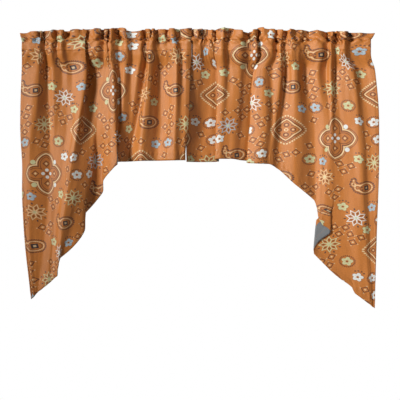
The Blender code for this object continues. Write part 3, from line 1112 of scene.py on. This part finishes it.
class SWAG_OT_sew_seams(bpy.types.Operator):
    """Sew the pocket's two seams, the bottom hem and the side hems of both panels"""

    bl_idname = "swag.sew_seams"
    bl_label = "Sew the seams"

    # Where a seam starts and stops short of the cloth's side, and the share of a side hem it lies at
    SEAM_END = 2 * MM
    SIDE_SEAM = 0.82

    # The pocket's seams lie so many rows off their rows of the grid
    LOWER_SEAM_SHIFT = -0.5
    UPPER_SEAM_SHIFT = 0.3

    # How closely a seam is followed: across, up the swag and up the heading, then its two ends
    ACROSS_STEP = MM / 2
    SWAG_STEP = 0.15
    HEADING_STEP = 0.1
    FIRST_ROW = 0.3
    LAST_ROW = 0.5

    THREAD_FLATNESS = 0.8

    def execute(self, context):
        sizes = context.scene.swag_sizes
        thread = thread_material(context.scene.swag_colours)
        for side, *_ in PANELS:
            if side not in CLOTHS:
                raise RuntimeError("hang the panels first")
            mesh = self.stitches(side + "_stitching", CLOTHS[side], sizes)
            mesh.materials.append(thread)
            stitching = new_object(side + "_stitching", mesh)
            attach(stitching, BODY)
            cut = sizes.panel_width * sizes.panel_length
            cut * FLAT_SHARE
        return {"FINISHED"}

    def seam_paths(self, cloth, sizes):
        """Each line of stitching: half the cloth's thickness there, and its rows and threads."""
        single, doubled = sizes.cloth_thickness / 2, sizes.hem_thickness / 2
        lower = cloth.stitch_row
        upper = lower + cloth.POCKET_ROWS
        across = (
            (cloth.HEM_SEAM_ROW, doubled),
            (lower + self.LOWER_SEAM_SHIFT, single),
            (upper + self.UPPER_SEAM_SHIFT, single),
        )
        for row, surface in across:
            threads = np.arange(self.SEAM_END, sizes.panel_width - self.SEAM_END, self.ACROSS_STEP)
            yield surface, [(row, thread) for thread in threads]
        swag = np.arange(self.FIRST_ROW, upper, self.SWAG_STEP)
        heading = np.arange(upper, len(cloth.points) - 1 - self.LAST_ROW, self.HEADING_STEP)
        in_from_side = sizes.side_hem_depth * self.SIDE_SEAM
        for thread in (in_from_side, sizes.panel_width - in_from_side):
            for rows in (swag, heading):
                yield doubled, [(row, thread) for row in rows]

    def stitches(self, name, cloth, sizes):
        shape = bmesh.new()
        for surface, path in self.seam_paths(cloth, sizes):
            spots = [cloth.at(row, thread) for row, thread in path]
            travelled, start = 0.0, None
            for (before, _), (after, normal) in zip(spots, spots[1:]):
                if start is None and travelled >= 0:
                    start = before
                travelled += (after - before).length
                if start is not None and travelled >= sizes.stitch_length:
                    self.stitch(shape, start, after, normal, surface, sizes.thread_width)
                    travelled, start = -sizes.stitch_gap, None
        return finished_mesh(name, shape)

    def stitch(self, shape, start, end, normal, surface, width):
        """One stitch: a short flattened bar that lies on each face of the cloth."""
        along = (end - start).normalized()
        across = normal.cross(along).normalized()
        out = along.cross(across)
        turn = Matrix((along, across, out)).transposed().to_4x4()
        size = Matrix.Diagonal(((end - start).length, width, width * self.THREAD_FLATNESS, 1))
        for face in (1, -1):
            middle = (start + end) / 2 + out * surface * face
            place = Matrix.Translation(middle) @ turn @ size
            bmesh.ops.create_cube(shape, size=1, matrix=place)


Lamp = namedtuple("Lamp", "name place aim size power colour")


class SWAG_OT_set_stage(bpy.types.Operator):
    """Set the pale floor, the soft lights, the white surroundings and the camera"""

    bl_idname = "swag.set_stage"
    bl_label = "Set the stage"

    FLOOR_HEIGHT = -2.0
    FLOOR_RADIUS = 3.0
    FLOOR_SIDES = 96
    CAMERA_DISTANCE = 4.0
    FRAME_WIDTH = 1.33
    SENSOR = 36
    AIM = (0.0033, 0, -0.5137)
    KEY = Lamp("key light", (-5.0, -4.2, 1.6), (0.8, 0, -0.35), 0.9, 2850, (1, 0.97, 0.93))
    KEY_CONE = 29
    DISKS = (
        Lamp("fill light", (1.7, -1.9, -0.1), (0.5, 0, -0.4), 1.2, 11, (1, 0.94, 0.88)),
        Lamp("back light", (1.2, 3.0, 0.6), (0, 0, -0.4), 2.0, 30, (1, 1, 1)),
    )
    SOFT_COLOUR = (1, 0.76, 0.54, 1)
    SOFT_STRENGTH = 0.08

    def execute(self, context):
        self.floor(context.scene.swag_colours)
        self.key_light()
        for setting in self.DISKS:
            lamp = self.hang(setting, "AREA")
            lamp.shape = "DISK"
            lamp.size = setting.size
        self.world(context.scene)
        self.camera(context.scene)
        context.scene.view_settings.view_transform = "Standard"
        return {"FINISHED"}

    def floor(self, colours):
        shape = bmesh.new()
        bmesh.ops.create_circle(shape, cap_ends=True, segments=self.FLOOR_SIDES, radius=self.FLOOR_RADIUS)
        bmesh.ops.translate(shape, verts=shape.verts, vec=(0, 0, self.FLOOR_HEIGHT))
        mesh = finished_mesh("studio_floor", shape)
        mesh.materials.append(floor_material(colours))
        new_object("studio_floor", mesh)

    def key_light(self):
        """A soft spotlight from the left that is brightest on the right of the swags."""
        lamp = self.hang(self.KEY, "SPOT")
        lamp.shadow_soft_size = self.KEY.size
        lamp.spot_size = math.radians(self.KEY_CONE)
        lamp.spot_blend = 1

    def hang(self, setting, kind):
        """One lamp, turned to what it is aimed at."""
        lamp = bpy.data.lights.new(setting.name, kind)
        lamp.energy = setting.power
        lamp.color = setting.colour
        made = new_object(setting.name, lamp)
        made.location = setting.place
        line = Vector(setting.aim) - Vector(setting.place)
        made.rotation_euler = line.to_track_quat("-Z", "Y").to_euler()
        return lamp

    def world(self, scene):
        """White as the camera sees it, and a dimmer soft light on the cloth."""
        world = bpy.data.worlds.new("studio")
        world.use_nodes = True
        tree = world.node_tree
        tree.nodes.clear()
        kinds = ("Background", "Background", "LightPath", "MixShader", "OutputWorld")
        seen, soft, ray, mix, out = [tree.nodes.new("ShaderNode" + kind) for kind in kinds]
        seen.inputs["Color"].default_value = (1, 1, 1, 1)
        soft.inputs["Color"].default_value = self.SOFT_COLOUR
        soft.inputs["Strength"].default_value = self.SOFT_STRENGTH
        mixed = (ray.outputs["Is Camera Ray"], soft.outputs[0], seen.outputs[0])
        for socket, goal in zip(mixed, mix.inputs):
            tree.links.new(socket, goal)
        tree.links.new(mix.outputs[0], out.inputs["Surface"])
        scene.world = world

    def camera(self, scene):
        lens = bpy.data.cameras.new("camera")
        lens.sensor_width = self.SENSOR
        lens.lens = self.SENSOR * self.CAMERA_DISTANCE / self.FRAME_WIDTH
        made = new_object("camera", lens)
        made.location = Vector(self.AIM) - Vector((0, self.CAMERA_DISTANCE, 0))
        made.rotation_euler = (math.pi / 2, 0, 0)
        scene.camera = made


class SWAG_PT_panel(bpy.types.Panel):
    """Lists the swag's steps, sizes and colours"""

    bl_label = "Window swag"
    bl_idname = "SWAG_PT_panel"
    bl_space_type = "VIEW_3D"
    bl_region_type = "UI"
    bl_category = "Window swag"

    def draw(self, context):
        for operator in OPERATORS:
            self.layout.operator(operator.bl_idname)
        for group in (context.scene.swag_sizes, context.scene.swag_colours):
            box = self.layout.box()
            for name in group.__annotations__:
                box.prop(group, name)


OPERATORS = (SWAG_OT_hang_panels, SWAG_OT_sew_seams, SWAG_OT_set_stage)
CLASSES = (SwagSizes, SwagColours, *OPERATORS, SWAG_PT_panel)


def register():
    for kind in CLASSES:
        bpy.utils.register_class(kind)
    bpy.types.Scene.swag_sizes = bpy.props.PointerProperty(type=SwagSizes)
    bpy.types.Scene.swag_colours = bpy.props.PointerProperty(type=SwagColours)


def unregister():
    del bpy.types.Scene.swag_colours
    del bpy.types.Scene.swag_sizes
    for kind in reversed(CLASSES):
        bpy.utils.unregister_class(kind)


def main():
    register()
    bpy.ops.swag.hang_panels()
    bpy.ops.swag.sew_seams()
    bpy.ops.swag.set_stage()


if __name__ == "__main__":
    main()
